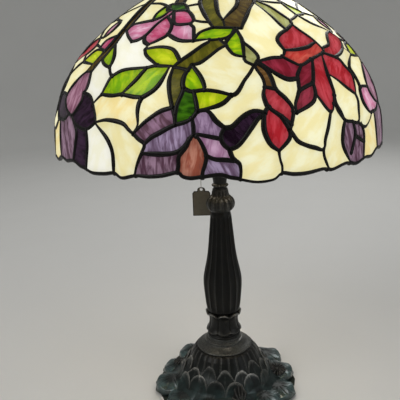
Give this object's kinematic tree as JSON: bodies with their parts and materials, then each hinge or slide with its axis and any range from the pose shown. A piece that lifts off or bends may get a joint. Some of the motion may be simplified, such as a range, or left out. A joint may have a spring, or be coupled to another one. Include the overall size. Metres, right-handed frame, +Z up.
{
  "type": "stained glass table lamp",
  "caption": "Table lamp with a domed leaded glass shade of flowering branches on a fluted bronze column and a cast water-lily base, with twin pull-chain sockets.",
  "frame": {"origin": "on the table under the column's axis, at the middle of the felt pad's underside", "axes": "+Z up along the column, -Y towards the front, +X to the right seen from the front"},
  "size_m": [0.411, 0.411, 0.609],
  "materials": {
    "bronze": "antique dark bronze, rubbed light on raised edges",
    "lead": "blackened solder",
    "brass": "aged brass",
    "steel": "zinc plated",
    "iron": "raw casting",
    "porcelain": "glazed porcelain",
    "frosted": "frosted bulb glass",
    "felt": "glued felt",
    "card": "matt card",
    "thread": "cotton thread",
    "rubber": "moulded rubber",
    "cream_glass": "streaky opalescent glass",
    "purple_glass": "streaky opalescent glass",
    "red_glass": "streaky opalescent glass",
    "green_glass": "streaky opalescent glass"
  },
  "bodies": {
    "stand": {"base_casting": "bronze", "base_collar": "bronze", "base_nut": "steel", "base_washer": "steel", "base_weight": "iron", "column_foot": "bronze", "column_knop": "bronze", "column_neck": "bronze", "column_shaft": "bronze", "cord_grommet": "rubber", "felt_pad": "felt", "main_pipe": "steel", "riser_pipe": "steel", "shade_spider": "steel", "socket_cap_left": "brass", "socket_cap_right": "brass", "socket_cluster": "bronze", "socket_core_left": "porcelain", "socket_core_right": "porcelain", "socket_shell_left": "brass", "socket_shell_right": "brass", "spider_nut": "steel"},
    "shade": {"lead_frame": "lead", "rim_bead": "lead", "crown_ring": "brass", "spun_cap": "bronze", "glass_lower_1": "purple_glass", "glass_lower_2": "red_glass", "glass_lower_3": "cream_glass", "glass_lower_4": "purple_glass", "glass_lower_5": "red_glass", "glass_lower_6": "cream_glass", "glass_lower_7": "purple_glass", "glass_lower_8": "red_glass", "glass_lower_9": "cream_glass", "glass_middle_1": "cream_glass", "glass_middle_2": "green_glass", "glass_middle_3": "cream_glass", "glass_middle_4": "green_glass", "glass_middle_5": "cream_glass", "glass_middle_6": "green_glass", "glass_upper_1": "cream_glass", "glass_upper_2": "cream_glass", "glass_upper_3": "cream_glass", "glass_upper_4": "cream_glass", "glass_upper_5": "cream_glass", "glass_upper_6": "cream_glass"},
    "finial": {"finial": "bronze"},
    "bulb_left": {"bulb_base_left": "brass", "bulb_glass_left": "frosted"},
    "bulb_right": {"bulb_base_right": "brass", "bulb_glass_right": "frosted"},
    "chain_left": {"pull_chain_left": "brass", "pull_knob_left": "brass"},
    "chain_right": {"pull_chain_right": "brass", "pull_knob_right": "brass"},
    "tag": {"tag_thread": "thread", "swing_tag": "card"}
  },
  "joints": [
    {"name": "shade_turn", "type": "hinge", "parent": "stand", "child": "shade", "pos_m": [0, 0, 0.5], "axis": [0, 0, 1], "continuous": true},
    {"name": "finial_turn", "type": "hinge", "parent": "stand", "child": "finial", "pos_m": [0, 0, 0.58], "axis": [0, 0, 1], "continuous": true},
    {"name": "bulb_left_turn", "type": "hinge", "parent": "stand", "child": "bulb_left", "pos_m": [0, 0, 0.38488], "axis": [-0.6352, 0.6464, 0.4226], "continuous": true},
    {"name": "bulb_right_turn", "type": "hinge", "parent": "stand", "child": "bulb_right", "pos_m": [0, 0, 0.38488], "axis": [0.6352, -0.6464, 0.4226], "continuous": true},
    {"name": "chain_left_pull", "type": "slide", "parent": "stand", "child": "chain_left", "axis": [0, 0, -1], "range_m": [0, 0.008], "stiffness_N_per_m": 300, "springref_m": -0.001},
    {"name": "chain_right_pull", "type": "slide", "parent": "stand", "child": "chain_right", "axis": [0, 0, -1], "range_m": [0, 0.008], "stiffness_N_per_m": 300, "springref_m": -0.001},
    {"name": "tag_swing", "type": "hinge", "parent": "chain_left", "child": "tag", "pos_m": [-0.02647, 0.02693, 0.32643], "axis": [0, 1, 0], "range_deg": [-20, 20]}
  ]
}
